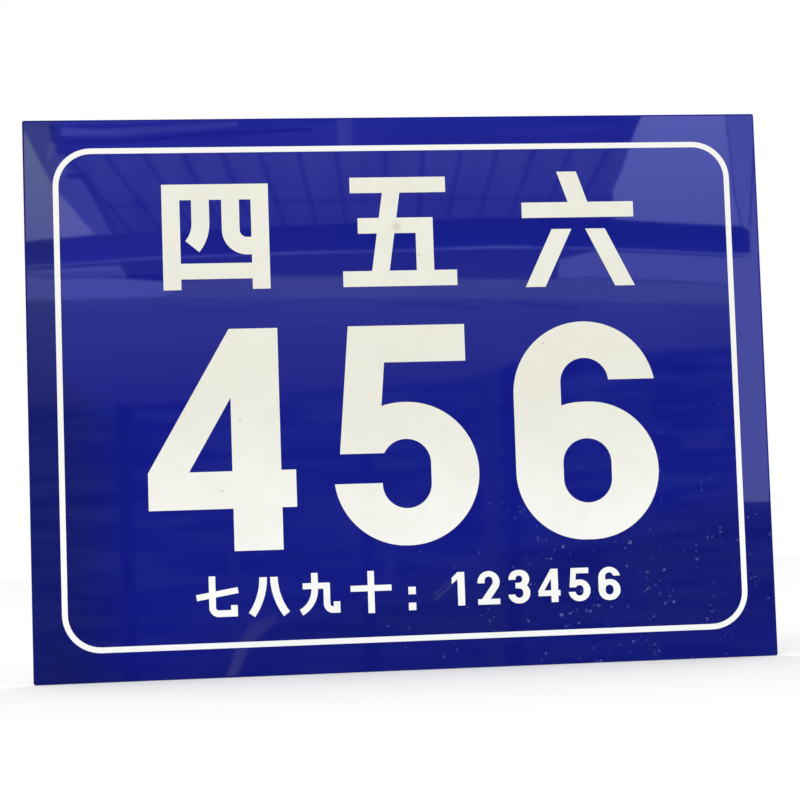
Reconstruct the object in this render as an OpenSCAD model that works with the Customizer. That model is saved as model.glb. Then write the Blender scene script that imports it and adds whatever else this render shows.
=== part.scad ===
// Building number plate: a flat blue sheet with a border line and plain counting numerals of cream film.
// Millimetres. X to the right, Z up, the face towards -Y, the origin at the centre of the back.

/* [Plate] */
// Width of the plate
plate_w = 400; // [330:5:600]
// Height of the plate
plate_h = 300; // [260:5:450]
// Thickness of the sheet
plate_t = 1.5; // [1:0.25:3]
// Radius of the plate's corners
plate_corner_r = 1.2; // [1:0.1:6]
// Rounding of the face's rim, where the coat rolls over the sheet's edge
rim_r = 0.4; // [0.2:0.1:0.8]

/* [Film] */
// Thickness of the cream film that the line and the numerals are cut from
film_t = 0.2; // [0.1:0.05:0.5]

/* [Border line] */
// Distance from the plate's edge to the line
border_inset = 15.5; // [8:0.5:20]
// Width of the line
border_w = 3; // [1.5:0.5:5]
// Radius of the line's outer corners
border_corner_r = 20.5; // [8:0.5:30]

/* [Rows] */
// Gap between the border line and the first and last rows
row_margin = 12.75; // [9:0.25:14]
// Distance between the columns that the heading and the number share
column_pitch = 98.75; // [85:0.25:104]
// Gap between the heading and the number
number_gap_above = 19.5; // [12:0.5:30]
// Gap between the number and the lower row
number_gap_below = 13; // [12:0.5:30]

/* [Heading] */
// Width of a heading character
heading_w = 62; // [50:1:80]
// Height of a heading character
heading_h = 63.5; // [50:0.5:68]
// Width of a heading character's upright strokes
heading_stem = 9.5; // [6:0.5:12]
// Width of a heading character's level strokes
heading_bar = 8.5; // [5:0.5:10]

/* [Number] */
// Width of a figure of the number
number_w = 78.5; // [66:0.5:84]
// Width of a number figure's upright strokes
number_stem = 26; // [18:0.5:28]
// Width of a number figure's level strokes
number_bar = 20; // [14:0.5:22]

/* [Lower row] */
// Width of a label character
label_w = 22; // [18:0.5:25]
// Height of a label character
label_h = 22.5; // [18:0.5:25]
// Width of a label character's upright strokes
label_stem = 3.5; // [2.5:0.1:4]
// Width of a label character's level strokes
label_bar = 3.2; // [2:0.1:4]
// Distance between label characters
label_pitch = 27.25; // [26:0.25:30]
// Side of the colon's square dots
colon_dot = 4; // [2:0.25:6]
// Distance between the colon's dots
colon_pitch = 8.5; // [7:0.25:10]
// Distance from the last label character to the colon
colon_before = 22; // [18:0.5:28]
// Distance from the colon to the first code figure
colon_after = 25; // [14:0.5:30]
// Width of a code figure
code_w = 12; // [10:0.5:14]
// Height of a code figure
code_h = 18; // [15:0.5:21]
// Width of a code figure's upright strokes
code_stem = 3.8; // [2.8:0.1:4]
// Width of a code figure's level strokes
code_bar = 3; // [2:0.1:3.4]
// Distance between code figures
code_pitch = 16.5; // [15:0.25:18]

/* [Hidden] */

sheet_blue = "#1a2080";
film_cream = "#edeadf";
$fn = 96;

// Rows, by the height of each row's foot above the plate's centre
border_h = plate_h - 2 * border_inset;
field_top = border_h / 2 - border_w;
heading_z = field_top - row_margin - heading_h;
label_z = row_margin - field_top;
number_z = label_z + label_h + number_gap_below;
number_h = heading_z - number_gap_above - number_z;
code_z = label_z + (label_h - code_h) / 2;
colon_z = label_z + label_h / 2;

// Columns, by the place of each character's middle
columns = 3;
label_count = 4;
code_count = 6;
lower_w = label_w / 2 + (label_count - 1) * label_pitch + colon_before
    + colon_after + (code_count - 1) * code_pitch + code_w / 2;
label_x = (label_w - lower_w) / 2;
colon_x = label_x + (label_count - 1) * label_pitch + colon_before;
code_x = colon_x + colon_after;

// A point at the distance r and the angle a from c
function around(c, r, a) = c + r * [cos(a), sin(a)];

// The point at the height y on the line down from p that leans by the angle a from the upright
function down(p, a, y) = [p.x - (p.y - y) * tan(a), y];

// Pieces that lie on the face

// Film cut to a flat outline, with its back on the face; the outline's foot is at the height z
module film(x, z)
    color(film_cream)
    translate([x, -plate_t, z])
    rotate([90, 0, 0])
    linear_extrude(film_t)
    children();

// One of the three columns, counted from the left
module in_column(i, z) film((i - (columns - 1) / 2) * column_pitch, z) children();

// Strokes

// A straight stroke from a to b, with its ends cut square
module stroke(a, b, t)
    translate(a)
    rotate(atan2(b.y - a.y, b.x - a.x))
    translate([0, -t / 2])
    square([norm(b - a), t]);

// A leaning stroke from its foot up to its head, t wide along the level, with its ends cut level
module leg(foot, head, t)
    polygon([
        [foot.x - t / 2, foot.y], [foot.x + t / 2, foot.y],
        [head.x + t / 2, head.y], [head.x - t / 2, head.y],
    ]);

// The sector between two angles less than 180 degrees apart, out to the distance r
module sector(c, r, from, to) {
    reach = r / cos((to - from) / 4);
    polygon([c, around(c, reach, from), around(c, reach, (from + to) / 2), around(c, reach, to)]);
}

// A bent stroke round c, with the middle of its width at the radius r
module bend(c, r, t, from, to)
    intersection() {
        difference() {
            translate(c) circle(r + t / 2);
            translate(c) circle(r - t / 2);
        }
        sector(c, 2 * r + t, from, to);
    }

// An upright or level slot shape with full round ends, from its lower left corner
module pill(w, h) {
    r = min(w, h) / 2;
    translate([r, r]) circle(r);
    translate([w - r, h - r]) circle(r);
    if (h > w) translate([0, r]) square([w, h - w]);
    else if (w > h) translate([r, 0]) square([w - h, h]);
}

// The same shape as a stroke, wider at its sides than at its top and foot
module ring(w, h, stem, bar)
    difference() {
        pill(w, h);
        translate([stem, bar]) pill(w - 2 * stem, h - 2 * bar);
    }

// A rectangle with round corners, about its centre
module rounded(w, h, r) {
    square([w - 2 * r, h], center = true);
    square([w, h - 2 * r], center = true);
    for (x = [-1, 1], z = [-1, 1])
        translate([x * (w / 2 - r), z * (h / 2 - r)]) circle(r);
}

// Figures: each stands on its foot, about the middle of its width

module figure_one(w, h, stem, bar) {
    flag_w = 0.26 * w;
    flag_fall = 0.17 * h;
    flag_depth = 1.1 * bar;
    stem_x = (flag_w - stem) / 2;
    tip_x = stem_x - flag_w;
    translate([stem_x, 0]) square([stem, h]);
    polygon([
        [stem_x, h], [tip_x, h - flag_fall],
        [tip_x, h - flag_fall - flag_depth], [stem_x, h - 1.15 * flag_depth],
    ]);
}

module figure_two(w, h, stem, bar) {
    lean = 36;
    kink = 4;
    lip = 0.64 * h;
    outer_r = w / 2;
    inner_r = outer_r - stem;
    eye = [outer_r, h - outer_r];
    outer = around(eye, outer_r * cos(kink), -lean);
    inner = around(eye, inner_r * cos(kink), -lean);
    translate([-w / 2, 0]) {
        difference() {
            union() {
                translate(eye) circle(outer_r);
                polygon([[0, 0], down(outer, lean, 0), outer, eye]);
            }
            translate([stem, eye.y - inner_r]) pill(w - 2 * stem, w - stem - bar);
            polygon([[0, bar], down(inner, lean, bar), inner, [eye.x, lip], [0, lip]]);
        }
        square([w, bar]);
    }
}

module figure_three(w, h, stem, bar) {
    upper_w = 0.94 * w;
    upper_h = 0.55 * h;
    lower_h = h - upper_h + bar;
    arm_w = 0.34 * w;
    lower_lip = 0.27 * h;
    upper_lip = 0.71 * h;
    translate([-w / 2, 0]) {
        difference() {
            union() {
                ring(w, lower_h, stem, bar);
                translate([(w - upper_w) / 2, h - upper_h]) ring(upper_w, upper_h, stem, bar);
            }
            translate([0, lower_lip]) square([arm_w, upper_lip - lower_lip]);
            translate([0, lower_lip]) square([w / 2, lower_h - bar - lower_lip]);
            translate([0, lower_h]) square([w / 2, upper_lip - lower_h]);
        }
        translate([arm_w, lower_h - bar]) square([w / 2 - arm_w, bar]);
    }
}

module figure_four(w, h, stem, bar) {
    beam_y = 0.19 * h;
    beam_top = beam_y + bar;
    stem_r = 0.9 * w;
    stem_l = stem_r - stem;
    slope = (h - beam_top) / stem_l;
    slant_w = 0.72 * stem / sin(atan(slope));
    translate([-w / 2, 0])
    difference() {
        union() {
            polygon([[0, beam_y], [stem_r, beam_y], [stem_r, h], [stem_l, h], [0, beam_top]]);
            translate([stem_l, 0]) square([stem, h]);
            translate([0, beam_y]) square([w, bar]);
        }
        polygon([[slant_w, beam_top], [stem_l, beam_top], [stem_l, beam_top + (stem_l - slant_w) * slope]]);
    }
}

module figure_five(w, h, stem, bar) {
    bowl_h = 0.65 * h;
    leg_w = 0.8 * stem;
    leg_foot = [0.045 * w, 0.42 * h];
    leg_top = [0.125 * w, h];
    lip = 0.285 * h;
    translate([-w / 2, 0]) {
        difference() {
            ring(w, bowl_h, stem, bar);
            translate([0, lip]) square([w / 2, leg_foot.y - lip]);
            polygon([[0, leg_foot.y], leg_foot, leg_top, [0, h]]);
        }
        translate([leg_w / 2, 0]) leg(leg_foot, leg_top, leg_w);
        translate([leg_top.x, h - bar]) square([0.93 * w - leg_top.x, bar]);
    }
}

module figure_six(w, h, stem, bar) {
    bowl_h = 0.63 * h;
    lip = 0.73 * h;
    translate([-w / 2, 0]) {
        ring(w, bowl_h, stem, bar);
        difference() {
            ring(w, h, stem, bar);
            translate([w / 2, 0]) square([w / 2, lip]);
        }
    }
}

// Written numerals: each stands on its foot, about the middle of its width

module character_four(w, h, stem, bar) {
    foot = 0.03 * h;
    top = 0.93 * h;
    floor_y = 0.12 * h;
    side = 0.46 * w;
    inner_x = 0.13 * w;
    shelf_y = 0.4 * h;
    turn_r = 0.14 * w;
    sweep_y = 0.6 * h;
    sweep_r = 0.32 * w;
    for (x = [-side, side - stem]) translate([x, foot]) square([stem, top - foot]);
    for (y = [floor_y, top - bar]) translate([-side, y]) square([2 * side, bar]);
    stroke([-inner_x, top], [-inner_x, sweep_y], stem);
    bend([-inner_x - sweep_r, sweep_y], sweep_r, stem, -40, 0);
    stroke([inner_x, top], [inner_x, shelf_y + turn_r], stem);
    bend([inner_x + turn_r, shelf_y + turn_r], turn_r, stem, 180, 270);
    stroke([inner_x + turn_r, shelf_y], [side, shelf_y], stem);
}

module character_five(w, h, stem, bar) {
    foot = 0.03 * h;
    top = 0.97 * h;
    top_w = 0.84 * w;
    shelf_top = 0.62 * h;
    shelf_l = -0.36 * w;
    shelf_r = 0.3 * w;
    translate([-top_w / 2, top - bar]) square([top_w, bar]);
    translate([shelf_l, shelf_top - bar]) square([shelf_r - shelf_l, bar]);
    translate([shelf_r - stem, foot]) square([stem, shelf_top - foot]);
    leg([-0.19 * w, foot], [-0.04 * w, top], stem);
    translate([-w / 2, foot]) square([w, bar]);
}

module character_six(w, h, stem, bar) {
    beam_y = 0.6 * h;
    leg_top = 0.5 * h;
    leg_w = 1.15 * stem;
    leg([0.05 * w, beam_y], [-0.09 * w, h], leg_w);
    translate([-w / 2, beam_y]) square([w, bar]);
    for (s = [-1, 1]) leg([s * 0.4 * w, 0], [s * 0.15 * w, leg_top], leg_w);
}

// The tail that a seven and a nine share: down at x from the height top, round and up into a hook
module hooked_tail(x, top, w, h, stem) {
    turn_r = 0.15 * w;
    floor_y = 0.04 * h + stem / 2;
    right = 0.48 * w;
    hook_h = 0.27 * h;
    stroke([x, top], [x, floor_y + turn_r], stem);
    bend([x + turn_r, floor_y + turn_r], turn_r, stem, 180, 270);
    stroke([x + turn_r, floor_y], [right, floor_y], stem);
    translate([right - stem, floor_y - stem / 2]) square([stem, hook_h]);
}

module character_seven(w, h, stem, bar) {
    stroke([-w / 2, 0.5 * h], [w / 2, 0.66 * h], bar);
    hooked_tail(-0.12 * w, h, w, h, stem);
}

module character_eight(w, h, stem, bar) {
    head = [-0.13 * w, 0.94 * h];
    sweep_r = 1.5 * h;
    for (s = [0, 1])
        mirror([s, 0]) bend(head - [sweep_r, 0], sweep_r, 1.15 * stem, -36, 0);
}

module character_nine(w, h, stem, bar) {
    beam_y = 0.62 * h;
    beam_l = -0.42 * w;
    elbow_x = 0.16 * w;
    sweep_x = -0.13 * w;
    sweep_r = 0.62 * h;
    stroke([sweep_x, h], [sweep_x, beam_y], stem);
    bend([sweep_x - sweep_r, beam_y], sweep_r, stem, -62, 0);
    translate([beam_l, beam_y]) square([elbow_x + stem / 2 - beam_l, bar]);
    hooked_tail(elbow_x, beam_y + bar, w, h, stem);
}

module character_ten(w, h, stem, bar) {
    translate([-stem / 2, 0]) square([stem, h]);
    translate([-w / 2, 0.52 * h]) square([w, bar]);
}

// Sub-parts

// The sheet's section across a length: square at its back, round at both rims of its face
module section(length) {
    intersection() {
        translate([-length / 2, -plate_t]) square([length, plate_t]);
        union() {
            translate([-length / 2, rim_r - plate_t]) square([length, plate_t - rim_r]);
            translate([rim_r - length / 2, -plate_t]) square([length - 2 * rim_r, plate_t]);
            for (s = [-1, 1]) translate([s * (length / 2 - rim_r), rim_r - plate_t]) circle(rim_r);
        }
    }
}

// The centre of a corner's arc, counted from the upper right and on over the top to the left
function inner_corner(quarter, w, h) = [sign(cos(90 * quarter + 45)) * w, 0, sign(sin(90 * quarter + 45)) * h] / 2;

module plate() {
    inner_w = plate_w - 2 * plate_corner_r;
    inner_h = plate_h - 2 * plate_corner_r;
    color(sheet_blue) {
        linear_extrude(inner_h, center = true) section(plate_w);
        rotate([0, 90, 0]) linear_extrude(inner_w, center = true) section(plate_h);
        for (quarter = [0 : 3])
            translate(inner_corner(quarter, inner_w, inner_h))
            rotate([-90, -90 * (quarter + 1), 0])
            rotate_extrude(angle = 90)
            intersection() {
                section(2 * plate_corner_r);
                translate([0, -plate_t]) square([plate_corner_r, plate_t]);
            }
    }
}

module border_line()
    film(0, 0)
    difference() {
        rounded(plate_w - 2 * border_inset, border_h, border_corner_r);
        rounded(plate_w - 2 * (border_inset + border_w), border_h - 2 * border_w, border_corner_r - border_w);
    }

module heading(i) in_column(i, heading_z) children();

module number(i) in_column(i, number_z) children();

module label(i) film(label_x + i * label_pitch, label_z) children();

module label_colon()
    film(colon_x, colon_z)
    for (y = [0, -colon_pitch]) translate([0, y]) square(colon_dot, center = true);

module code(i) film(code_x + i * code_pitch, code_z) children();

module heading_four() heading(0) character_four(heading_w, heading_h, heading_stem, heading_bar);
module heading_five() heading(1) character_five(heading_w, heading_h, heading_stem, heading_bar);
module heading_six() heading(2) character_six(heading_w, heading_h, heading_stem, heading_bar);

module number_four() number(0) figure_four(number_w, number_h, number_stem, number_bar);
module number_five() number(1) figure_five(number_w, number_h, number_stem, number_bar);
module number_six() number(2) figure_six(number_w, number_h, number_stem, number_bar);

module label_seven() label(0) character_seven(label_w, label_h, label_stem, label_bar);
module label_eight() label(1) character_eight(label_w, label_h, label_stem, label_bar);
module label_nine() label(2) character_nine(label_w, label_h, label_stem, label_bar);
module label_ten() label(3) character_ten(label_w, label_h, label_stem, label_bar);

module code_one() code(0) figure_one(code_w, code_h, code_stem, code_bar);
module code_two() code(1) figure_two(code_w, code_h, code_stem, code_bar);
module code_three() code(2) figure_three(code_w, code_h, code_stem, code_bar);
module code_four() code(3) figure_four(code_w, code_h, code_stem, code_bar);
module code_five() code(4) figure_five(code_w, code_h, code_stem, code_bar);
module code_six() code(5) figure_six(code_w, code_h, code_stem, code_bar);

plate();
border_line();
heading_four();
heading_five();
heading_six();
number_four();
number_five();
number_six();
label_seven();
label_eight();
label_nine();
label_ten();
label_colon();
code_one();
code_two();
code_three();
code_four();
code_five();
code_six();
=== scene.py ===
"""Dresses the building number plate for its picture: a glossy blue sheet with a cream line and numerals of film."""
import logging
import math
from collections.abc import Callable, Sequence
from dataclasses import dataclass, field
from enum import Enum
from typing import Any

import bmesh
import bpy
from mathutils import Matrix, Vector


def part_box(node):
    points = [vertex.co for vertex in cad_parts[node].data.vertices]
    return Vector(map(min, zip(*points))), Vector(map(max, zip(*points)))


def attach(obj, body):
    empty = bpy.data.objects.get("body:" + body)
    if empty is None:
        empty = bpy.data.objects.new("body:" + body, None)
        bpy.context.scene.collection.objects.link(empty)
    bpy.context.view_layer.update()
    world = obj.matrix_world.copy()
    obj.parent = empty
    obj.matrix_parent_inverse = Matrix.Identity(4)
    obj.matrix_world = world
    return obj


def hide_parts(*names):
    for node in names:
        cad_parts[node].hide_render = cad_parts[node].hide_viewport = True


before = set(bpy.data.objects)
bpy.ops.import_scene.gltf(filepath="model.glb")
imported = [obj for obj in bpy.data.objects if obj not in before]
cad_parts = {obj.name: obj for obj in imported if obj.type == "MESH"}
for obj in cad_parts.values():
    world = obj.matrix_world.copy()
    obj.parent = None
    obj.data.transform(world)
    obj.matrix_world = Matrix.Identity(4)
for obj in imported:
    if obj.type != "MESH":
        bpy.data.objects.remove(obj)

LOG = logging.getLogger("number_plate")
MM = 0.001
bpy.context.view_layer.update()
# A point nearer to a plane than this lies on it
ON_PLANE = 0.01 * MM

Point = tuple[float, float]
Triple = tuple[float, float, float]
Colour = tuple[float, float, float, float]
Piece = bpy.types.Object
Material = bpy.types.Material
Tree = bpy.types.NodeTree
Socket = bpy.types.NodeSocket


class Slot(Enum):
    """The record's material slots."""

    BLUE_COAT = "blue_coat"
    CREAM_FILM = "cream_film"


def linear(tone: str) -> Triple:
    """Turns an sRGB hex value to linear light.

    Args:
        tone: Six hex digits, such as "1a2080".

    Returns:
        Red, green and blue, from 0 to 1.
    """
    parts = [int(tone[i : i + 2], 16) / 255 for i in (0, 2, 4)]
    return tuple(c / 12.92 if c <= 0.04045 else ((c + 0.055) / 1.055) ** 2.4 for c in parts)


def paint(tone: str) -> Colour:
    """Gives an sRGB hex value as an opaque linear colour for a socket."""
    return (*linear(tone), 1.0)


def add_node(
    tree: Tree,
    kind: str,
    settings: dict[str | int, Any] | None = None,
    links: dict[str | int, Socket] | None = None,
) -> bpy.types.Node:
    """Adds a node with its settings and links.

    Args:
        tree: The node tree.
        kind: The node's type name.
        settings: Values by the name of a property of the node, or by the name or number of an input.
        links: Sockets to link from, by the name or number of the input.

    Returns:
        The new node.
    """
    node = tree.nodes.new(kind)
    for key, value in (settings or {}).items():
        if isinstance(key, str) and key.islower():
            setattr(node, key, value)
        else:
            node.inputs[key].default_value = value
    for key, source in (links or {}).items():
        tree.links.new(source, node.inputs[key])
    return node


def new_material(name: str) -> tuple[Material, Tree, bpy.types.Node]:
    """Makes an empty material.

    Args:
        name: The material's name.

    Returns:
        The material, its node tree and its output node.
    """
    material = bpy.data.materials.new(name)
    material.use_nodes = True
    material.node_tree.nodes.clear()
    return material, material.node_tree, add_node(material.node_tree, "ShaderNodeOutputMaterial")


def deselect_all() -> None:
    """Leaves nothing selected, so that an operator acts only on what is picked next."""
    bpy.ops.object.select_all(action="DESELECT")


def pick(piece: Piece) -> None:
    """Makes a piece the only selected and the active object.

    Args:
        piece: The piece to work on next.
    """
    deselect_all()
    piece.select_set(True)
    bpy.context.view_layer.objects.active = piece


def select_part(piece: Piece, kind: str, wanted: Callable[[Any], bool]) -> None:
    """Selects the parts of a mesh in edit mode that pass a test, and nothing else.

    Args:
        piece: The object that is in edit mode.
        kind: VERT, EDGE or FACE.
        wanted: Says of a vertex, edge or face whether it is wanted.
    """
    bpy.ops.mesh.select_mode(type=kind)
    bpy.ops.mesh.select_all(action="DESELECT")
    mesh = bmesh.from_edit_mesh(piece.data)
    for part in {"VERT": mesh.verts, "EDGE": mesh.edges, "FACE": mesh.faces}[kind]:
        if wanted(part):
            part.select_set(True)
    mesh.select_flush_mode()
    bmesh.update_edit_mesh(piece.data)


@dataclass(frozen=True)
class GlossEnamel:
    """Baked gloss enamel on the sheet's face and edges, with lengths in millimetres."""

    shaded_tone: str = "111864"
    plain_tone: str = "121980"
    thin_tone: str = "1a2289"
    dust_tone: str = "6a72b8"
    margin_start: float = -187.0
    margin_ends: Point = (-136.0, -176.0)
    margin_levels: Point = (-15.0, 20.0)
    corner_slope: float = -0.232
    corner_levels: Point = (-122.0, -88.0)
    foot_levels: Point = (-138.0, -128.0)
    cloud: float = 70.0
    wave: float = 42.0
    wave_depth: float = 0.008
    splash: float = 1.25
    splash_bend: float = 3.0
    dust_cell: float = 2.3
    dust_clump: float = 16.0
    dust_rarity: float = 2.6
    # The dust lies round a place 123 mm to the right of the sheet's middle and 125 mm below it
    dust_shift: Triple = (-0.54, 0, 0.75)
    dust_narrow: Triple = (4.4, 0.001, 6.0)

    def build(self) -> Material:
        """Builds the enamel's material.

        Returns:
            The material.
        """
        # It flows out level before it is baked: to the eye a deep, even, wet-looking blue with sharp reflections
        material, tree, out = new_material("baked_gloss_enamel")
        place = add_node(tree, "ShaderNodeTexCoord").outputs["Object"]
        in_mm = add_node(tree, "ShaderNodeMapping", {"Scale": (1000, 1000, 1000)}, {"Vector": place}).outputs[0]
        # Painted shade: a darker blue at the left margin and in the lower right corner
        blues = {"data_type": "RGBA", 6: paint(self.shaded_tone), 7: paint(self.plain_tone)}
        ground = add_node(tree, "ShaderNodeMix", blues, {0: self.tone_share(tree, in_mm)}).outputs[2]
        # The coat's thickness changes a little from place to place
        clouds = add_node(
            tree, "ShaderNodeTexNoise", {"Scale": 1 / self.cloud, "Detail": 2.0, "Roughness": 0.5}, {"Vector": in_mm}
        ).outputs[0]
        thin = add_node(
            tree, "ShaderNodeMapRange", {"From Min": 0.4, "From Max": 0.7, "To Max": 0.12}, {"Value": clouds}
        ).outputs[0]
        clouded = add_node(
            tree, "ShaderNodeMix", {"data_type": "RGBA", 7: paint(self.thin_tone)}, {0: thin, 6: ground}
        ).outputs[2]
        speck = self.dust(tree, place, in_mm)
        dusty = add_node(
            tree, "ShaderNodeMix", {"data_type": "RGBA", 7: paint(self.dust_tone)}, {0: speck, 6: clouded}
        ).outputs[2]
        rough = add_node(tree, "ShaderNodeMapRange", {"To Min": 0.34, "To Max": 0.7}, {"Value": speck}).outputs[0]
        # Slow waves of the rolled sheet under the enamel, which make reflections wander
        waves = add_node(
            tree, "ShaderNodeTexNoise", {"Scale": 1 / self.wave, "Detail": 2.5, "Roughness": 0.45}, {"Vector": in_mm}
        ).outputs[0]
        relief = add_node(
            tree, "ShaderNodeBump", {"Strength": 1.0, "Distance": self.wave_depth * MM}, {"Height": waves}
        ).outputs[0]
        # The coat alone shines: a second shine from the colour under it would veil the blue
        shader = add_node(
            tree,
            "ShaderNodeBsdfPrincipled",
            {"Specular IOR Level": 0.0, "Coat Weight": 1.0, "Coat Roughness": 0.022, "Coat IOR": 1.5},
            {"Base Color": dusty, "Roughness": rough, "Normal": relief, "Coat Normal": relief},
        )
        tree.links.new(shader.outputs[0], out.inputs[0])
        return material

    def tone_share(self, tree: Tree, in_mm: Socket) -> Socket:
        """Finds where painted shade darkens the blue: at the left margin, which narrows upwards, and in the lower right
        corner.

        Args:
            tree: The material's node tree.
            in_mm: The place on the sheet, in millimetres.

        Returns:
            A socket that is 0 at the painted shade's tone and 1 at the plain one.
        """
        parts = add_node(tree, "ShaderNodeSeparateXYZ", {}, {0: in_mm})
        across, up = parts.outputs[0], parts.outputs[2]
        soft = {"interpolation_type": "SMOOTHSTEP"}
        low, high = self.margin_levels
        wide, narrow = self.margin_ends
        margin = add_node(
            tree,
            "ShaderNodeMapRange",
            {**soft, "From Min": low, "From Max": high, "To Min": wide, "To Max": narrow},
            {"Value": up},
        ).outputs[0]
        from_left = add_node(
            tree, "ShaderNodeMapRange", {**soft, "From Min": self.margin_start}, {"Value": across, "From Max": margin}
        ).outputs[0]
        slant = add_node(
            tree, "ShaderNodeMath", {"operation": "MULTIPLY_ADD", 1: self.corner_slope}, {0: across, 2: up}
        ).outputs[0]
        low, high = self.corner_levels
        from_corner = add_node(
            tree, "ShaderNodeMapRange", {**soft, "From Min": low, "From Max": high, "To Min": 0.4}, {"Value": slant}
        ).outputs[0]
        # A little of the plain tone comes back at the very foot, easing the painted shade there
        low, high = self.foot_levels
        foot = add_node(
            tree,
            "ShaderNodeMapRange",
            {**soft, "From Min": low, "From Max": high, "To Min": 0.25, "To Max": 0.0},
            {"Value": up},
        ).outputs[0]
        upward = add_node(tree, "ShaderNodeMath", {"operation": "ADD"}, {0: from_corner, 1: foot}).outputs[0]
        return add_node(tree, "ShaderNodeMath", {"operation": "MULTIPLY"}, {0: from_left, 1: upward}).outputs[0]

    def dust(self, tree: Tree, place: Socket, in_mm: Socket) -> Socket:
        """Scatters dust and dried splashes, in clumps and thicker towards the lower right.

        Args:
            tree: The material's node tree.
            place: The place on the sheet, in metres.
            in_mm: The same place, in millimetres.

        Returns:
            A socket that is 0 on clean enamel and more on a speck.
        """
        warp = add_node(
            tree, "ShaderNodeTexNoise", {"Scale": 1 / self.splash, "Detail": 3.0}, {"Vector": in_mm}
        ).outputs[1]
        bend = (self.splash_bend, self.splash_bend, self.splash_bend)
        bent = add_node(
            tree, "ShaderNodeVectorMath", {"operation": "MULTIPLY_ADD", 1: bend}, {0: warp, 2: in_mm}
        ).outputs[0]
        cells = add_node(tree, "ShaderNodeTexVoronoi", {"Scale": 1 / self.dust_cell}, {"Vector": bent})
        chance = add_node(tree, "ShaderNodeSeparateColor", {}, {0: cells.outputs[1]}).outputs[0]
        rare = add_node(tree, "ShaderNodeMath", {"operation": "POWER", 1: self.dust_rarity}, {0: chance}).outputs[0]
        corner = add_node(
            tree, "ShaderNodeMapping", {"Location": self.dust_shift, "Scale": self.dust_narrow}, {"Vector": place}
        ).outputs[0]
        near = add_node(tree, "ShaderNodeTexGradient", {"gradient_type": "SPHERICAL"}, {"Vector": corner}).outputs[1]
        thick = add_node(
            tree, "ShaderNodeMapRange", {"From Max": 0.85, "To Min": 0.05, "To Max": 0.36}, {"Value": near}
        ).outputs[0]
        patches = add_node(
            tree, "ShaderNodeTexNoise", {"Scale": 1 / self.dust_clump, "Detail": 2.0}, {"Vector": in_mm}
        ).outputs[0]
        clumped = add_node(
            tree,
            "ShaderNodeMapRange",
            {"From Min": 0.4, "From Max": 0.62, "To Min": 0.5, "To Max": 1.7},
            {"Value": patches},
        ).outputs[0]
        heavy = add_node(tree, "ShaderNodeMath", {"operation": "MULTIPLY"}, {0: rare, 1: clumped}).outputs[0]
        reach = add_node(tree, "ShaderNodeMath", {"operation": "MULTIPLY"}, {0: heavy, 1: thick}).outputs[0]
        inside = add_node(
            tree, "ShaderNodeMath", {"operation": "SUBTRACT"}, {0: reach, 1: cells.outputs[0]}
        ).outputs[0]
        return add_node(
            tree, "ShaderNodeMapRange", {"From Min": 0.0, "From Max": 0.3, "To Max": 0.62}, {"Value": inside}
        ).outputs[0]


@dataclass(frozen=True)
class RolledAluminium:
    """Mill-finish rolled aluminium on the sheet's back, with lengths in millimetres."""

    dark_tone: str = "a9adb1"
    light_tone: str = "c2c5c8"
    cloud: float = 70.0
    # The real grain is about 0.1 mm wide, and is drawn wider so that it shows
    grain: float = 0.9
    grain_depth: float = 0.02

    def build(self) -> Material:
        """Builds the metal's material.

        Returns:
            The material.
        """
        # The rolls leave fine lines one way: to the eye a soft grey that shines a little along them
        material, tree, out = new_material("mill_finish_aluminium")
        place = add_node(tree, "ShaderNodeTexCoord").outputs["Object"]
        along = add_node(
            tree, "ShaderNodeMapping", {"Scale": (1000 / self.cloud, 1000, 1000 / self.grain)}, {"Vector": place}
        ).outputs[0]
        grain = add_node(tree, "ShaderNodeTexNoise", {"Scale": 1.0, "Detail": 3.0}, {"Vector": along}).outputs[0]
        clouds = add_node(
            tree, "ShaderNodeTexNoise", {"Scale": 1000 / self.cloud, "Detail": 3.0}, {"Vector": place}
        ).outputs[0]
        both = add_node(tree, "ShaderNodeMath", {"operation": "MULTIPLY"}, {0: grain, 1: clouds}).outputs[0]
        share = add_node(
            tree, "ShaderNodeMapRange", {"From Min": 0.1, "From Max": 0.45}, {"Value": both}
        ).outputs[0]
        greys = {"data_type": "RGBA", 6: paint(self.dark_tone), 7: paint(self.light_tone)}
        metal = add_node(tree, "ShaderNodeMix", greys, {0: share}).outputs[2]
        rough = add_node(
            tree,
            "ShaderNodeMapRange",
            {"From Min": 0.3, "From Max": 0.7, "To Min": 0.3, "To Max": 0.46},
            {"Value": grain},
        ).outputs[0]
        relief = add_node(
            tree, "ShaderNodeBump", {"Strength": 0.4, "Distance": self.grain_depth * MM}, {"Height": grain}
        ).outputs[0]
        shader = add_node(
            tree,
            "ShaderNodeBsdfPrincipled",
            {"Metallic": 1.0},
            {"Base Color": metal, "Roughness": rough, "Normal": relief},
        )
        tree.links.new(shader.outputs[0], out.inputs[0])
        return material


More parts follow.
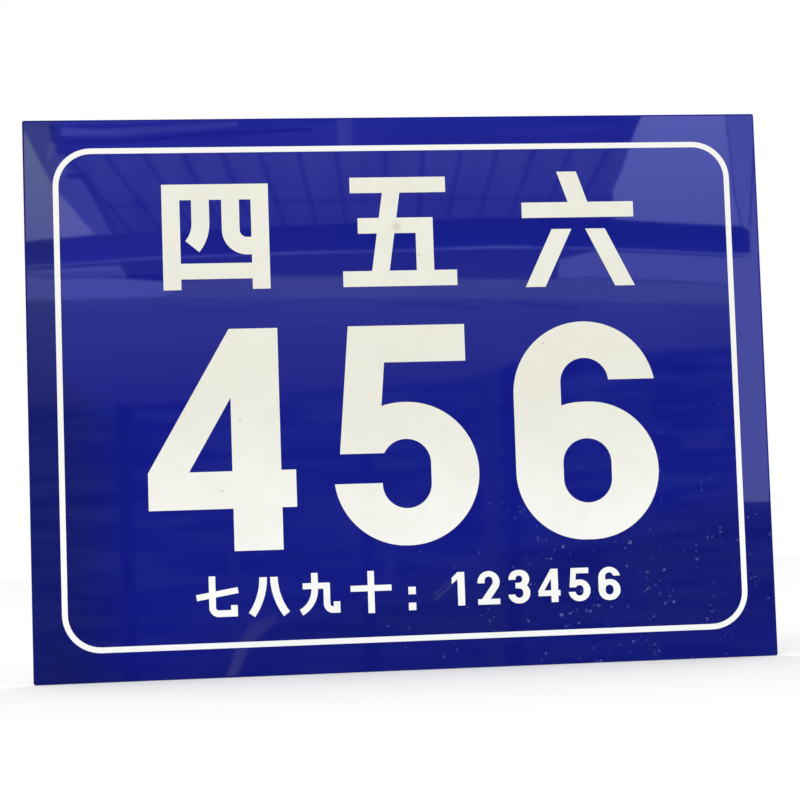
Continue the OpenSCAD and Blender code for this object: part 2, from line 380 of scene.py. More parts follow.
@dataclass(frozen=True)
class MatteVinyl:
    """Matte calendered vinyl film, with lengths in millimetres."""

    name: str = "matte_calendered_vinyl"
    foot_tone: str = "fafbf7"
    head_tone: str = "e2e2d5"
    stain_tone: str = "cfcbbb"
    warm_tone: str = "dacfbd"
    dot_tone: str = "a3957c"
    smudge_tone: str = "aca491"
    painted_shade_levels: Point = (-122.0, 12.0)
    mottle: float = 13.0
    patch: float = 48.0
    dot_cell: float = 11.0
    smudge_place: Point = (-1.0, 90.0)
    smudge_r: float = 4.0
    grain: float = 0.7
    grain_depth: float = 0.01

    def build(self) -> Material:
        """Builds the film's material.

        Returns:
            The material.
        """
        # Hot rolls leave it smooth but dull: to the eye a flat cream, a little mottled and dirty, with painted shade
        # that greys it upwards
        material, tree, out = new_material(self.name)
        place = add_node(tree, "ShaderNodeTexCoord").outputs["Object"]
        in_mm = add_node(tree, "ShaderNodeMapping", {"Scale": (1000, 1000, 1000)}, {"Vector": place}).outputs[0]
        mottle = add_node(
            tree, "ShaderNodeTexNoise", {"Scale": 1 / self.mottle, "Detail": 3.0, "Roughness": 0.5}, {"Vector": in_mm}
        ).outputs[0]
        shaded_and_weathered, dots = self.shade_and_weather(tree, in_mm, mottle), self.dots(tree, in_mm)
        dotted = add_node(
            tree, "ShaderNodeMix", {"data_type": "RGBA", 7: paint(self.dot_tone)}, {0: dots, 6: shaded_and_weathered}
        ).outputs[2]
        # A smudge on the middle character
        (across, up), r = self.smudge_place, self.smudge_r
        spot = add_node(
            tree,
            "ShaderNodeMapping",
            {"Location": (-across / r, 0, -up / r), "Scale": (1 / r, 0, 1 / r)},
            {"Vector": in_mm},
        ).outputs[0]
        fall = add_node(tree, "ShaderNodeTexGradient", {"gradient_type": "SPHERICAL"}, {"Vector": spot}).outputs[1]
        grime = add_node(tree, "ShaderNodeMath", {"operation": "MULTIPLY"}, {0: fall, 1: mottle}).outputs[0]
        smudged = add_node(
            tree, "ShaderNodeMix", {"data_type": "RGBA", 7: paint(self.smudge_tone)}, {0: grime, 6: dotted}
        ).outputs[2]
        grain = add_node(
            tree, "ShaderNodeTexNoise", {"Scale": 1 / self.grain, "Detail": 2.0}, {"Vector": in_mm}
        ).outputs[0]
        rough = add_node(tree, "ShaderNodeMapRange", {"To Min": 0.5, "To Max": 0.72}, {"Value": mottle}).outputs[0]
        relief = add_node(
            tree, "ShaderNodeBump", {"Strength": 0.5, "Distance": self.grain_depth * MM}, {"Height": grain}
        ).outputs[0]
        shader = add_node(
            tree,
            "ShaderNodeBsdfPrincipled",
            {"Specular IOR Level": 0.3},
            {"Base Color": smudged, "Roughness": rough, "Normal": relief},
        )
        tree.links.new(shader.outputs[0], out.inputs[0])
        return material

    def shade_and_weather(self, tree: Tree, in_mm: Socket, mottle: Socket) -> Socket:
        """Greys the film upwards with painted shade, mottles it, and warms it in broad patches as the sun does.

        Args:
            tree: The material's node tree.
            in_mm: The place on the film, in millimetres.
            mottle: The noise that stains follow.

        Returns:
            The film's colour with its painted shade, without its dirt.
        """
        # Painted shade: the film is darker upwards and paler at the foot
        height = add_node(tree, "ShaderNodeSeparateXYZ", {}, {0: in_mm}).outputs[2]
        low, high = self.painted_shade_levels
        share = add_node(
            tree,
            "ShaderNodeMapRange",
            {"interpolation_type": "SMOOTHSTEP", "From Min": low, "From Max": high},
            {"Value": height},
        ).outputs[0]
        creams = {"data_type": "RGBA", 6: paint(self.foot_tone), 7: paint(self.head_tone)}
        ground = add_node(tree, "ShaderNodeMix", creams, {0: share}).outputs[2]
        spots = add_node(
            tree, "ShaderNodeMapRange", {"From Min": 0.45, "From Max": 0.8, "To Max": 0.16}, {"Value": mottle}
        ).outputs[0]
        stained = add_node(
            tree, "ShaderNodeMix", {"data_type": "RGBA", 7: paint(self.stain_tone)}, {0: spots, 6: ground}
        ).outputs[2]
        patches = add_node(
            tree, "ShaderNodeTexNoise", {"Scale": 1 / self.patch, "Detail": 1.0}, {"Vector": in_mm}
        ).outputs[0]
        warmth = add_node(
            tree, "ShaderNodeMapRange", {"From Min": 0.42, "From Max": 0.66, "To Max": 0.13}, {"Value": patches}
        ).outputs[0]
        return add_node(
            tree, "ShaderNodeMix", {"data_type": "RGBA", 7: paint(self.warm_tone)}, {0: warmth, 6: stained}
        ).outputs[2]

    def dots(self, tree: Tree, in_mm: Socket) -> Socket:
        """Scatters a few dots of dirt, each about a millimetre wide.

        Args:
            tree: The material's node tree.
            in_mm: The place on the film, in millimetres.

        Returns:
            A socket that is 0 on clean film and more on a dot.
        """
        cells = add_node(tree, "ShaderNodeTexVoronoi", {"Scale": 1 / self.dot_cell}, {"Vector": in_mm})
        chance = add_node(tree, "ShaderNodeSeparateColor", {}, {0: cells.outputs[1]}).outputs[0]
        chosen = add_node(
            tree, "ShaderNodeMapRange", {"From Min": 0.72, "From Max": 0.95, "To Max": 0.55}, {"Value": chance}
        ).outputs[0]
        core = add_node(
            tree,
            "ShaderNodeMapRange",
            {"From Min": 0.02, "From Max": 0.08, "To Min": 1.0, "To Max": 0.0},
            {"Value": cells.outputs[0]},
        ).outputs[0]
        return add_node(tree, "ShaderNodeMath", {"operation": "MULTIPLY"}, {0: chosen, 1: core}).outputs[0]


@dataclass
class CoatedSheet:
    """The sheet: cut from rolled aluminium, enamelled blue on its face and edges, bare on its back."""

    corner_r: float = 1.2 * MM
    corner_segments: int = 10
    rim_r: float = 0.4 * MM
    rim_segments: int = 5
    seam: float = 0.5 * MM
    cell: float = 5 * MM
    dent: float = 0.05 * MM
    dent_size: float = 110 * MM
    dent_fade: float = 20 * MM
    smooth_angle: float = 35
    low: Vector = field(default_factory=lambda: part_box("plate")[0])
    high: Vector = field(default_factory=lambda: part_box("plate")[1])

    def build(self) -> Piece:
        """Models the sheet and dresses it.

        Returns:
            The dressed sheet.
        """
        size, centre = self.high - self.low, (self.high + self.low) / 2
        deselect_all()
        bpy.ops.mesh.primitive_cube_add(size=1, location=centre, scale=size)
        sheet = bpy.context.object
        sheet.name = sheet.data.name = "enamelled_sheet"
        bpy.ops.object.transform_apply(location=True, rotation=True, scale=True)
        bpy.ops.object.mode_set(mode="EDIT")
        self.round_corners(sheet)
        self.lay_grid()
        bpy.ops.object.mode_set(mode="OBJECT")
        self.flex(sheet)
        bpy.ops.object.shade_smooth_by_angle(angle=math.radians(self.smooth_angle))
        self.dress(sheet)
        return sheet

    def on_face(self, point: Vector) -> bool:
        """Says whether a point lies on the face's plane."""
        return abs(point.y - self.low.y) < ON_PLANE

    def round_corners(self, sheet: Piece) -> None:
        """Rounds the four corners, then the rim that the enamel rolls over.

        Args:
            sheet: The sheet, in edit mode.
        """
        across = self.high.y - self.low.y
        select_part(sheet, "EDGE", lambda e: abs((e.verts[0].co - e.verts[1].co).y) > across / 2)
        bpy.ops.mesh.bevel(offset=self.corner_r, segments=self.corner_segments, affect="EDGES")
        select_part(sheet, "EDGE", lambda e: all(self.on_face(v.co) for v in e.verts))
        bpy.ops.mesh.bevel(offset=self.rim_r, segments=self.rim_segments, affect="EDGES")
        select_part(sheet, "FACE", lambda f: all(self.on_face(v.co) for v in f.verts))
        bpy.ops.mesh.inset(thickness=self.seam)

    def lay_grid(self) -> None:
        """Cuts the sheet in edit mode into small cells, so that its face can carry a rolled sheet's waves."""
        for axis in (0, 2):
            normal = Vector((0, 0, 0))
            normal[axis] = 1
            count = int((self.high - self.low)[axis] / self.cell + 0.5)
            for i in range(1, count):
                point = Vector((0, 0, 0))
                point[axis] = self.low[axis] + i * self.cell
                bpy.ops.mesh.select_all(action="SELECT")
                bpy.ops.mesh.bisect(plane_co=point, plane_no=normal)

    def flex(self, sheet: Piece) -> None:
        """Presses slow, shallow waves into the face, fading out towards its rim.

        Args:
            sheet: The sheet, in object mode.
        """
        group = sheet.vertex_groups.new(name="face")
        rim = self.rim_r + self.seam
        for vertex in sheet.data.vertices:
            if self.on_face(vertex.co):
                x, z = vertex.co.x, vertex.co.z
                edge = min(x - self.low.x, self.high.x - x, z - self.low.z, self.high.z - z)
                share = min(1.0, max(0.0, (edge - rim) / self.dent_fade))
                group.add([vertex.index], share * share * (3 - 2 * share), "REPLACE")
        clouds = bpy.data.textures.new("sheet_waves", "CLOUDS")
        clouds.noise_scale = self.dent_size
        clouds.noise_depth = 1
        waves = sheet.modifiers.new("waves", "DISPLACE")
        waves.texture = clouds
        waves.texture_coords = "LOCAL"
        waves.direction = "Y"
        waves.mid_level = 0.0
        waves.strength = self.dent
        waves.vertex_group = group.name
        pick(sheet)
        bpy.ops.object.modifier_apply(modifier=waves.name)
        sheet.vertex_groups.clear()

    def dress(self, sheet: Piece) -> None:
        """Gives the face and edges their enamel and the back its bare metal, and ties the sheet to the frame.

        Args:
            sheet: The finished sheet.
        """
        sheet.data.materials.append(GlossEnamel().build())
        sheet.data.materials.append(RolledAluminium().build())
        for face in sheet.data.polygons:
            face.material_index = 1 if face.normal.y > 0.9 else 0
        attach(sheet, "root")
        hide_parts("plate")


@dataclass
class FilmLettering:
    """The line and the numerals: each cut from cream film, with a softened cut edge and its back pressed home."""

    cut_edge: float = 0.04 * MM
    press: float = 0.1 * MM
    same_point: float = 0.001 * MM
    flat_angle: float = 0.5
    edge_angle: float = 50
    # Below the softened edge's own turns, so that the flat front is shaded flat
    smooth_angle: float = 18
    nodes: Sequence[str] = field(default_factory=lambda: sorted(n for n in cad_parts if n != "plate"))

    def build(self) -> list[Piece]:
        """Models and dresses every piece of film.

        Returns:
            The dressed pieces.
        """
        dulled = MatteVinyl().build()
        # The same film with less dirt and a lighter painted shade upwards: the line looks brighter all round than the
        # characters do
        clean = MatteVinyl(
            "clean_calendered_vinyl", foot_tone="fbfcf9", head_tone="ecebe7", stain_tone="e2e0d6", warm_tone="ebe7df"
        ).build()
        return [self.build_piece(node, clean if node == "border_line" else dulled) for node in self.nodes]

    def build_piece(self, node: str, vinyl: Material) -> Piece:
        """Models one piece of film over its node.

        Args:
            node: The CAD node that the piece stands for.
            vinyl: The film's material.

        Returns:
            The dressed piece.
        """
        piece = bpy.data.objects.new("film_" + node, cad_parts[node].data.copy())
        bpy.context.scene.collection.objects.link(piece)
        pick(piece)
        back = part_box(node)[1].y
        bpy.ops.object.mode_set(mode="EDIT")
        bpy.ops.mesh.select_mode(type="VERT")
        bpy.ops.mesh.select_all(action="SELECT")
        bpy.ops.mesh.remove_doubles(threshold=self.same_point)
        bpy.ops.mesh.dissolve_limited(angle_limit=math.radians(self.flat_angle))
        select_part(piece, "VERT", lambda v: abs(v.co.y - back) < ON_PLANE)
        bpy.ops.transform.translate(value=(0, self.press, 0))
        bpy.ops.object.mode_set(mode="OBJECT")
        edge = piece.modifiers.new("cut_edge", "BEVEL")
        edge.width = self.cut_edge
        edge.segments = 2
        edge.limit_method = "ANGLE"
        edge.angle_limit = math.radians(self.edge_angle)
        bpy.ops.object.modifier_apply(modifier=edge.name)
        bpy.ops.object.shade_smooth_by_angle(angle=math.radians(self.smooth_angle))
        piece.data.materials.clear()
        piece.data.materials.append(vinyl)
        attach(piece, "root")
        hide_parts(node)
        return piece


@dataclass(frozen=True)
class Viewpoint:
    """The camera at the picture's viewing angle: nearly square on, a little left of the middle and low."""

    place: Triple = (-0.0867, -0.9766, -0.0917)
    turn: Triple = (93.532, 1.972, -5.775)
    lens: float = 81.875
    shift: Point = (-0.04, 0.06)
    clip: Point = (0.01, 100)

    def build(self) -> None:
        """Sets up the scene's camera."""
        data = bpy.data.cameras.new("viewpoint")
        data.lens = self.lens
        data.shift_x, data.shift_y = self.shift
        data.clip_start, data.clip_end = self.clip
        camera = bpy.data.objects.new("viewpoint", data)
        camera.location = self.place
        camera.rotation_euler = [math.radians(angle) for angle in self.turn]
        bpy.context.scene.collection.objects.link(camera)
        bpy.context.scene.camera = camera


@dataclass(frozen=True)
class Card:
    """A card behind the camera that the glossy face mirrors. Its outline and tones are those seen on the plate.

    The outline is in millimetres from the plate's middle. Head and foot are the tones that the enamel shows there,
    fade is the width of a soft edge, streaks is how strongly the card is streaked, grain is how many streaks there
    are to a millimetre across and up, and slats draws the gaps of a boarded roof.
    """

    name: str
    outline: Sequence[Point]
    head: str
    foot: str
    fade: float = 0.0
    streaks: float = 0.0
    grain: Point = (0.012, 0.16)
    slats: bool = False


@dataclass(frozen=True)
class RoofBoards:
    """The dark gaps between the mirrored roof's boards, which fan out upwards, in millimetres on the plate."""

    middle: float = -10.0
    fan_levels: Point = (-77.0, 105.0)
    turn_sides: Point = (-16.0, 6.0)
    turn_shifts: Point = (2.1, -3.9)
    half_board: float = 9.0
    batten_level: float = 104.0

    def lines(self, tree: Tree, seen: Socket) -> Socket:
        """Draws the gaps and the cross batten that they meet.

        Args:
            tree: The card's node tree.
            seen: The place on the plate, in millimetres.

        Returns:
            A socket that is 1 on a board and less in a gap.
        """
        parts = add_node(tree, "ShaderNodeSeparateXYZ", {}, {0: seen})
        low, high = self.fan_levels
        spread = add_node(
            tree, "ShaderNodeMapRange", {"clamp": False, "From Min": low, "From Max": high}, {"Value": parts.outputs[2]}
        ).outputs[0]
        side = add_node(
            tree, "ShaderNodeMath", {"operation": "ADD", 1: -self.middle}, {0: parts.outputs[0]}
        ).outputs[0]
        fanned = add_node(tree, "ShaderNodeMath", {"operation": "DIVIDE"}, {0: side, 1: spread}).outputs[0]
        # The left half's boards start a little off those of the right half
        left, right = self.turn_sides
        before, after = self.turn_shifts
        half = add_node(
            tree,
            "ShaderNodeMapRange",
            {"From Min": left, "From Max": right, "To Min": before, "To Max": after},
            {"Value": side},
        ).outputs[0]
        lane = add_node(tree, "ShaderNodeMath", {"operation": "ADD"}, {0: fanned, 1: half}).outputs[0]
        gap = add_node(
            tree, "ShaderNodeMath", {"operation": "PINGPONG", 1: self.half_board}, {0: lane}
        ).outputs[0]
        seam = add_node(
            tree,
            "ShaderNodeMapRange",
            {"From Min": 0.3, "From Max": 2.2, "To Min": 0.45, "To Max": 1.0},
            {"Value": gap},
        ).outputs[0]
        batten = add_node(
            tree, "ShaderNodeMath", {"operation": "PINGPONG", 1: self.batten_level / 2}, {0: parts.outputs[2]}
        ).outputs[0]
        cross = add_node(
            tree,
            "ShaderNodeMapRange",
            {"From Min": 0.5, "From Max": 2.2, "To Min": 0.7, "To Max": 1.0},
            {"Value": batten},
        ).outputs[0]
        return add_node(tree, "ShaderNodeMath", {"operation": "MULTIPLY"}, {0: seam, 1: cross}).outputs[0]


@dataclass
class Studio:
    """The surroundings: white air, a pale floor, one soft lamp, and the flag and cards that the gloss mirrors.

    Lengths are in metres. A card's light is worked out from the tone that the enamel shows with nothing mirrored,
    and from the share of light that its coat sends back.
    """

    viewpoint: Viewpoint
    cards: Sequence[Card] = ()
    floor_size: float = 30
    floor_gap: float = 0.05 * MM
    lamp_place: Triple = (-1.4, -2.1, 1.9)
    lamp_size: float = 1.8
    lamp_watts: float = 17
    flag_reach: float = 3.4
    flag_height: float = 5.2
    flag_below: float = 1.2
    flag_gap: float = 3 * MM
    softbox_side: float = 2.55
    card_distance: float = 2.0
    card_step: float = 0.01
    enamel_seen: str = "151d82"
    mirror: float = 0.042

    def build(self) -> None:
        """Builds the world, the floor, the lamp, the flag and the cards."""
        self.build_world()
        self.build_floor()
        self.build_lamp()
        self.build_flag()
        for step, card in enumerate(self.cards):
            self.build_card(card, self.card_distance - self.card_step * step)
            LOG.info("card %s", card.name)

    def build_world(self) -> None:
        """Makes the air white, to the eye, in reflections and as a light."""
        world = bpy.data.worlds.new("studio_air")
        world.use_nodes = True
        tree = world.node_tree
        tree.nodes.clear()
        air = add_node(tree, "ShaderNodeBackground", {"Color": paint("ffffff"), "Strength": 1.0})
        out = add_node(tree, "ShaderNodeOutputWorld")
        tree.links.new(air.outputs[0], out.inputs[0])
        bpy.context.scene.world = world

    def build_floor(self) -> None:
        """Lays a plain white floor under the plate's lower edge."""
        deselect_all()
        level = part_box("plate")[0].z - self.floor_gap
        bpy.ops.mesh.primitive_plane_add(size=self.floor_size, location=(0, 0, level))
        floor = bpy.context.object
        floor.name = "studio_floor"
        floor.visible_glossy = False
        # A photographer's roll of matt white vinyl, which shows a soft shadow and no shine
        material, tree, out = new_material("matt_white_vinyl_sweep")
        white = {"Base Color": paint("fbfbfb"), "Roughness": 0.9, "Specular IOR Level": 0.0}
        shader = add_node(tree, "ShaderNodeBsdfPrincipled", white)
        tree.links.new(shader.outputs[0], out.inputs[0])
        floor.data.materials.append(material)

    def build_lamp(self) -> None:
        """Hangs one large soft lamp to the front, above and to the left."""
        data = bpy.data.lights.new("soft_lamp", "AREA")
        data.shape, data.size, data.energy = "SQUARE", self.lamp_size, self.lamp_watts
        lamp = bpy.data.objects.new("soft_lamp", data)
        lamp.location = self.lamp_place
        lamp.rotation_euler = (-lamp.location).to_track_quat("-Z", "Y").to_euler()
        lamp.visible_glossy = False
        bpy.context.scene.collection.objects.link(lamp)

    def mirror_only(self, card: Piece) -> None:
        """Shows a flag or card to glossy rays alone.

        Args:
            card: The flag or card.
        """
        card.visible_camera = card.visible_diffuse = card.visible_shadow = False
        card.visible_transmission = card.visible_volume_scatter = False

    def build_flag(self) -> None:
        """Stands a dark flag in front of the plate, as is done for a glossy dark sign."""
        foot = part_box("plate")[0]
        middle = (0, foot.y - self.flag_gap - self.flag_reach / 2, foot.z - self.flag_below + self.flag_height / 2)
        size = (2 * self.flag_reach, self.flag_reach, self.flag_height)
        deselect_all()
        bpy.ops.mesh.primitive_cube_add(size=1, location=middle, scale=size)
        flag = bpy.context.object
        flag.name = "dark_flag"
        bpy.ops.object.transform_apply(location=True, rotation=True, scale=True)
        bpy.ops.object.mode_set(mode="EDIT")
        select_part(flag, "FACE", lambda f: f.normal.y > 0.5)
        bpy.ops.mesh.delete(type="FACE")
        bpy.ops.object.mode_set(mode="OBJECT")
        flag.data.materials.append(self.flag_material())
        self.mirror_only(flag)

    def flag_material(self) -> Material:
        """Makes the flag black velvet, which shows nothing in the gloss, with light at its sides and above.

        Returns:
            The flag's material.
        """
        material, tree, out = new_material("black_velvet")
        place = add_node(tree, "ShaderNodeTexCoord").outputs["Object"]
        # Paler to the sides and above, so that the gloss still shows when the plate is seen at a slant
        parts = add_node(tree, "ShaderNodeSeparateXYZ", {}, {0: place})
        soft = {"interpolation_type": "SMOOTHSTEP"}
        side = add_node(tree, "ShaderNodeMath", {"operation": "ABSOLUTE"}, {0: parts.outputs[0]}).outputs[0]
        aside = add_node(
            tree, "ShaderNodeMapRange", {**soft, "From Min": 1.0, "From Max": 3.0, "To Max": 0.45}, {"Value": side}
        ).outputs[0]
        above = add_node(
            tree,
            "ShaderNodeMapRange",
            {**soft, "From Min": 0.8, "From Max": 3.4, "To Min": 0.02, "To Max": 0.6},
            {"Value": parts.outputs[2]},
        ).outputs[0]
        spill = add_node(tree, "ShaderNodeMath", {"operation": "ADD"}, {0: aside, 1: above}).outputs[0]
        # A tall softbox on each side, seen in the gloss only from a slant
        off = add_node(tree, "ShaderNodeMath", {"operation": "SUBTRACT", 1: self.softbox_side}, {0: side}).outputs[0]
        from_middle = add_node(tree, "ShaderNodeMath", {"operation": "ABSOLUTE"}, {0: off}).outputs[0]
        softbox = add_node(
            tree,
            "ShaderNodeMapRange",
            {**soft, "From Min": 0.22, "From Max": 0.3, "To Min": 0.55, "To Max": 0.0},
            {"Value": from_middle},
        ).outputs[0]
        strength = add_node(tree, "ShaderNodeMath", {"operation": "ADD"}, {0: spill, 1: softbox}).outputs[0]
        shader = add_node(tree, "ShaderNodeEmission", {"Color": paint("e7f1ff")}, {"Strength": strength})
        tree.links.new(shader.outputs[0], out.inputs[0])
        return material

    def build_card(self, card: Card, distance: float) -> None:
        """Cuts one card so that the camera sees it mirrored at its outline on the plate.

        Args:
            card: What the card looks like in the enamel.
            distance: How far in front of the face it stands.
        """
        eye = Vector(self.viewpoint.place)
        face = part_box("plate")[0].y
        gain = distance / (face - eye.y)
        deselect_all()
        bpy.ops.mesh.primitive_circle_add(vertices=len(card.outline), fill_type="NGON")
        flat = bpy.context.object
        flat.name = "card_" + card.name
        for vertex, (x, z) in zip(flat.data.vertices, card.outline):
            x, z = x * MM, z * MM
            vertex.co = (x + (x - eye.x) * gain, face - distance, z + (z - eye.z) * gain)
        glow = flat.data.attributes.new("glow", "FLOAT", "POINT")
        rim = 0
        if card.fade:
            # The inset keeps the outline's own points first, and they stay clear
            rim = len(card.outline)
            pick(flat)
            bpy.ops.object.mode_set(mode="EDIT")
            select_part(flat, "FACE", lambda f: True)
            bpy.ops.mesh.inset(thickness=card.fade * MM * (1 + gain))
            bpy.ops.object.mode_set(mode="OBJECT")
            glow = flat.data.attributes["glow"]
        for i in range(len(flat.data.vertices)):
            glow.data[i].value = 0.0 if i < rim else 1.0
        flat.data.materials.append(self.card_material(card, gain, eye))
        self.mirror_only(flat)

    def card_material(self, card: Card, gain: float, eye: Vector) -> Material:
        """Makes a card glow so that the enamel shows its tones.

        Args:
            card: What the card looks like in the enamel.
            gain: How much wider the card is than its reflection, less one.
            eye: The camera's place.

        Returns:
            The card's material.
        """
        # Backlit translucent card, which shows in the gloss as one soft tone, clear at a faded edge
        material, tree, out = new_material("glowing_card_" + card.name)
        place = add_node(tree, "ShaderNodeTexCoord").outputs["Object"]
        # Back from the card's own place to millimetres on the plate
        scale = 1000 / (1 + gain)
        seen = add_node(
            tree,
            "ShaderNodeMapping",
            {"Scale": (scale, 0, scale), "Location": (eye.x * gain * scale, 0, eye.z * gain * scale)},
            {"Vector": place},
        ).outputs[0]
        height = add_node(tree, "ShaderNodeSeparateXYZ", {}, {0: seen}).outputs[2]
        levels = [z for _, z in card.outline]
        share = add_node(
            tree, "ShaderNodeMapRange", {"From Min": min(levels), "From Max": max(levels)}, {"Value": height}
        ).outputs[0]
        tones = {"data_type": "RGBA", 6: self.light_for(card.foot), 7: self.light_for(card.head)}
        light = add_node(tree, "ShaderNodeMix", tones, {0: share}).outputs[2]
        along, up = card.grain
        stretched = add_node(tree, "ShaderNodeMapping", {"Scale": (along, 0, up)}, {"Vector": seen}).outputs[0]
        streaks = add_node(tree, "ShaderNodeTexNoise", {"Scale": 1.0, "Detail": 1.5}, {"Vector": stretched}).outputs[0]
        strength = add_node(
            tree,
            "ShaderNodeMapRange",
            {"From Min": 0.35, "From Max": 0.65, "To Min": 1 - card.streaks, "To Max": 1 + card.streaks},
            {"Value": streaks},
        ).outputs[0]
        if card.slats:
            strength = add_node(
                tree, "ShaderNodeMath", {"operation": "MULTIPLY"}, {0: strength, 1: RoofBoards().lines(tree, seen)}
            ).outputs[0]
        shine = add_node(tree, "ShaderNodeEmission", {}, {"Color": light, "Strength": strength}).outputs[0]
        clear = add_node(tree, "ShaderNodeBsdfTransparent").outputs[0]
        edge = add_node(tree, "ShaderNodeAttribute", {"attribute_name": "glow"}).outputs[2]
        mix = add_node(tree, "ShaderNodeMixShader", {}, {0: edge, 1: clear, 2: shine})
        tree.links.new(mix.outputs[0], out.inputs[0])
        return material

    def light_for(self, seen: str) -> Colour:
        """Gives the light that a card needs for the enamel to show a tone."""
        bare = linear(self.enamel_seen)
        return (*[max(0.0, (s - b) / self.mirror) for s, b in zip(linear(seen), bare)], 1.0)


def strip(path: Sequence[Point], width: float) -> list[Point]:
    """Gives the outline of a thin, nearly level band along a path.

    Args:
        path: Points from left to right.
        width: The band's height in millimetres.

    Returns:
        The outline, counter-clockwise.
    """
    return [(x, z - width / 2) for x, z in path] + [(x, z + width / 2) for x, z in reversed(path)]


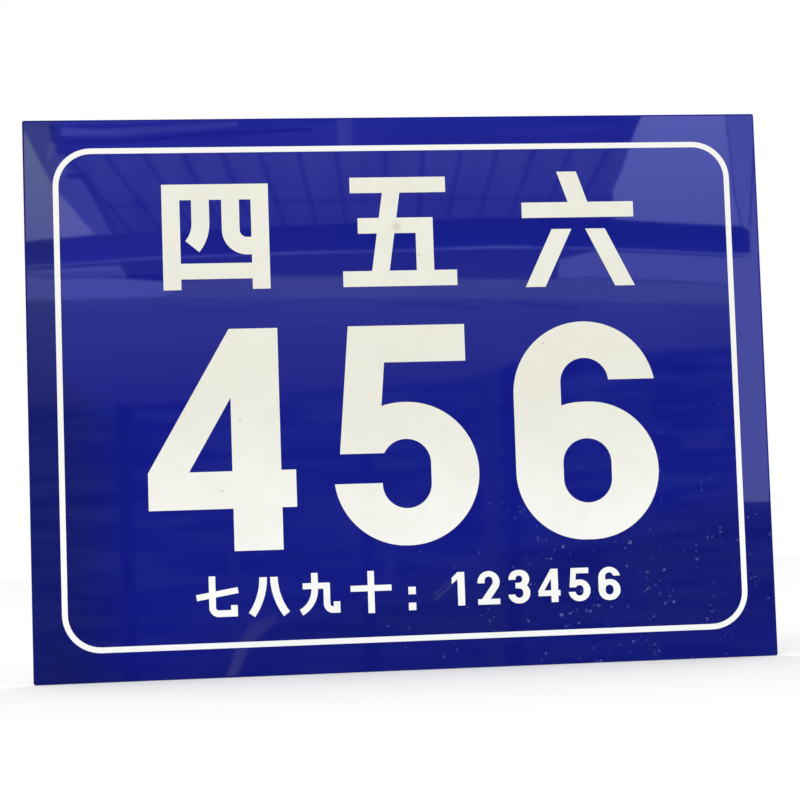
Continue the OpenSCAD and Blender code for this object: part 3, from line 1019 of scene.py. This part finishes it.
# From the back to the front: each card covers those before it
MIRRORED: tuple[Card, ...] = (
    Card(
        "boards",
        [(-205, -155), (205, -155), (205, 30), (-205, 30)],
        "1b2485", "182083", streaks=1.0, grain=(0.017, 0.14),
    ),
    Card("dark_post_left", [(-154, -155), (-144, -155), (-144, 4), (-154, 4)], "151d82", "151d82", fade=2),
    Card("dark_post_middle", [(-26, -155), (-18, -155), (-18, 10), (-26, 10)], "151d82", "151d82", fade=2),
    Card("pale_patch_left", [(-146, -70), (-112, -69), (-112, -62), (-146, -63)], "1e2685", "1e2685", fade=2.5),
    Card("pale_patch_middle", [(60, -41), (88, -40), (88, -33), (60, -34)], "1e2685", "1e2685", fade=2.5),
    Card("pale_patch_right", [(148, -38), (178, -36), (178, -26), (152, -28)], "202886", "202886", fade=3.5),
    Card("pale_patch_low", [(142, -65), (182, -63), (182, -58), (150, -60)], "1e2685", "1e2685", fade=2),
    Card("pale_post", [(39, -155), (50, -155), (51, 20), (40, 20)], "1b2381", "1b2381", fade=2),
    Card("pale_post_left", [(-99, -155), (-90, -155), (-90, -78), (-98, -80)], "1c2484", "1b2383", fade=2),
    Card("pale_post_right", [(126, -155), (135, -155), (137, 12), (128, 12)], "1b2382", "1b2382", fade=2.5),
    Card("dark_post_right", [(51, -155), (60, -155), (62, 20), (52, 20)], "151d82", "151d82", fade=2),
    Card(
        "wall",
        [(-205, -6), (-120, -5), (-60, -2), (20, 3), (45, 7), (60, 12), (135, 17), (205, 20), (205, 56), (-205, 56)],
        "31378c", "222785", fade=4, streaks=0.12, grain=(0.01, 0.12),
    ),
    Card("streak_left", strip([(-124, 48), (-100, 46), (-78, 44.5)], 2.2), "292f8c", "292f8c", fade=0.8),
    Card("streak_middle", strip([(-5, 47.5), (22, 46), (46, 43.5)], 3), "272d88", "272d88", fade=1),
    Card("streak_right", strip([(58, 47), (78, 45), (97, 43)], 3.2), "272d88", "272d88", fade=1),
    Card(
        "sill",
        [(-205, 52), (-130, 53), (-70, 52), (0, 50), (45, 49), (120, 46), (205, 42), (205, 60), (90, 60), (70, 60),
         (0, 62), (-38, 64), (-72, 65), (-128, 62.5), (-150, 64), (-205, 66)],
        "3b408e", "38408f", fade=0.8, streaks=0.1, grain=(0.01, 0.3),
    ),
    Card(
        "sill_right",
        [(86, 60), (140, 57), (205, 52), (205, 72), (180, 72.5), (128, 75), (110, 75.5), (86, 70)],
        "43499c", "41479a", fade=0.5, streaks=0.08, grain=(0.01, 0.4),
    ),
    Card(
        "sill_left",
        [(-205, 53), (-130, 53.5), (-120, 57), (-128, 62.5), (-150, 64.2), (-180, 64.6), (-205, 68)],
        "464c9f", "4349a0", fade=0.8,
    ),
    Card("sill_line", strip([(100, 60), (135, 57.5), (160, 56), (205, 51.5)], 1.6), "31368e", "31368e", fade=0.3),
    Card(
        "shade",
        [(-205, 71), (-150, 66), (-72, 65), (-20, 63.5), (5, 62), (70, 59), (86, 59), (87, 70), (112, 76),
         (100, 77), (0, 78), (-100, 76)],
        "202784", "262b87", streaks=0.1, grain=(0.01, 0.3),
    ),
    Card(
        "shade_end",
        [(-205, 66), (-180, 64), (-147, 64), (-146, 66), (-149, 69.5), (-153, 71), (-205, 70)],
        "373d93", "3b4197", fade=0.6,
    ),
    Card(
        "shade_tip",
        [(-205, 68), (-182, 67.6), (-150, 68), (-149, 70.8), (-180, 69.6), (-205, 68.6)],
        "444ba1", "434aa1", fade=0.4,
    ),
    Card("shade_line", strip([(-190, 65.4), (-170, 65.1), (-148, 65.2)], 1.1), "2d3390", "2d3390", fade=0.3),
    Card(
        "eaves",
        [(-205, 71.6), (-135, 74.6), (-70, 76.3), (0, 76.8), (50, 77.8), (100, 76.6), (193, 73), (194.5, 76),
         (193.5, 83), (189, 87), (150, 90), (100, 93), (50, 94), (0, 92.6), (-50, 91), (-120, 88.4), (-205, 84.2)],
        "181f82", "1a258a",
    ),
    Card(
        "eaves_left",
        [(-205, 71.6), (-135, 74.6), (-34, 76.8), (-34, 91.4), (-120, 88.4), (-205, 84.2)],
        "1b2183", "1e2287",
    ),
    Card("eaves_end", [(-205, 71.6), (-126, 74.8), (-126, 88.2), (-205, 84.2)], "212787", "232991"),
    Card(
        "gutter",
        strip([(-205, 71.2), (-180, 72.1), (-160, 72.8), (-135, 74.3), (-70, 76), (-35, 76.4), (0, 76.6),
               (30, 77.2), (50, 77.5), (70, 77.1), (95, 76.4), (127, 75.4), (180, 71.6), (198, 70)], 1.3),
        "373d97", "3b43a1",
    ),
    Card("gutter_glint", strip([(30, 77.2), (50, 77.5), (72, 77)], 1.2), "444ca5", "444ca5"),
    Card("gutter_glint_left", strip([(-72, 75.9), (-50, 76.3), (-36, 76.4)], 1.2), "3f469f", "3f469f", fade=0.2),
    Card("gutter_shade", strip([(108, 75.4), (127, 74), (180, 70.4), (190, 69.6)], 1.1), "262d87", "262d87"),
    Card(
        "roof",
        [(-165, 87), (-120, 88.4), (-50, 91), (0, 92.6), (50, 94), (118, 92.5), (118, 108), (124, 120), (130, 131),
         (-182, 131)],
        "323892", "282d8d", streaks=0.14, grain=(0.07, 0.02), slats=True,
    ),
    Card(
        "ridge",
        [(-184, 130.5), (130, 130.5), (140, 155), (-205, 155)],
        "202894", "23288c", streaks=0.35, grain=(0.012, 0.16),
    ),
    Card(
        "ridge_left",
        [(-180, 139), (-150, 139), (-105, 141.5), (-85, 144), (-85, 148), (-110, 147), (-150, 144.5), (-165, 144),
         (-180, 146)],
        "383e99", "383e9a", fade=1.2, streaks=0.3,
    ),
    Card(
        "ridge_top",
        [(-205, 144), (-180, 146), (-100, 148), (-40, 149), (-40, 155), (-205, 155)],
        "2a3094", "30368f", fade=0.8,
    ),
    Card(
        "ridge_beam",
        strip([(-178, 135.6), (-140, 136.6), (-110, 138.6), (-45, 142)], 2.4),
        "181c86", "1b2281", fade=0.5,
    ),
    Card("ridge_joint", [(-32, 130.5), (-24, 130.5), (-23, 155), (-32, 155)], "323797", "353a9a", fade=0.6),
    Card(
        "gable",
        [(-205, 84), (-151, 87.5), (-164, 117), (-176, 124), (-181, 132), (-184, 138), (-187, 155), (-205, 155)],
        "3a4098", "383c97", fade=0.8, streaks=0.08,
    ),
    Card("gable_glint", [(-186.5, 128), (-182.5, 128), (-182, 136), (-185.5, 136)], "4a50a3", "3e449b", fade=0.8),
    Card(
        "gable_beam",
        [(-154, 87.5), (-149.5, 87.5), (-162, 113), (-166, 122), (-177, 122), (-178, 118.5), (-170, 118.5),
         (-165.5, 111)],
        "22288c", "272c8b", fade=0.5,
    ),
    Card(
        "sky_left",
        [(-205, 84), (-162, 87.6), (-171, 98), (-181, 112), (-187, 125), (-195, 140), (-205, 152)],
        "6066a4", "5459a6", fade=1,
    ),
    Card(
        "sky_right",
        [(118, 92), (150, 89.6), (189, 86.7), (186, 104), (184.6, 120), (184.6, 155), (139, 155), (132, 139),
         (124, 120), (118, 108)],
        "575daf", "4a51a2", fade=0.7,
    ),
    Card(
        "post",
        [(183, -66), (205, -66), (205, 155), (184.6, 155), (184.6, 120), (186, 104), (189, 87), (193.5, 84),
         (193.5, 70), (183, 70)],
        "444b9f", "4b4f9b", fade=0.5,
    ),
    Card("post_line", [(193, 86), (195, 86), (200, 130), (198, 130)], "2e358b", "2e358b", fade=0.4),
    Card(
        # Painted reflections: glowing cards that the gloss shows as a smear, a wiped mark and two scratches; the sheet
        # itself carries no such marks
        "smear_reflection",
        [(-103, -155), (-97, -155), (-87, -134), (-70, -121), (-73, -117), (-87, -121), (-95, -133)],
        "282c86", "3a3b8b", fade=1.8,
    ),
    Card("wipe_mark_reflection", [(-17, -106), (-8, -107), (-6, -88), (-13, -85)], "20278a", "1d2487", fade=3.5),
    Card("scratch_long_reflection", [(13, -112), (22, -104.6), (22.4, -105.2), (13.4, -112.6)], "424890", "424890"),
    Card("scratch_short_reflection", [(12, -109.6), (21, -103), (21.3, -103.5), (12.4, -110.2)], "383e8c", "383e8c"),
)


def main() -> None:
    """Builds the plate and its surroundings in order."""
    logging.basicConfig(level=logging.INFO, format="%(message)s")
    viewpoint = Viewpoint()
    viewpoint.build()
    sheet = CoatedSheet().build()
    LOG.info("%s: %d faces", sheet.name, len(sheet.data.polygons))
    for piece in FilmLettering().build():
        LOG.info("%s: %d faces", piece.name, len(piece.data.polygons))
    Studio(viewpoint, cards=MIRRORED).build()
    bpy.context.scene.view_settings.view_transform = "Standard"


if __name__ == "__main__":
    main()
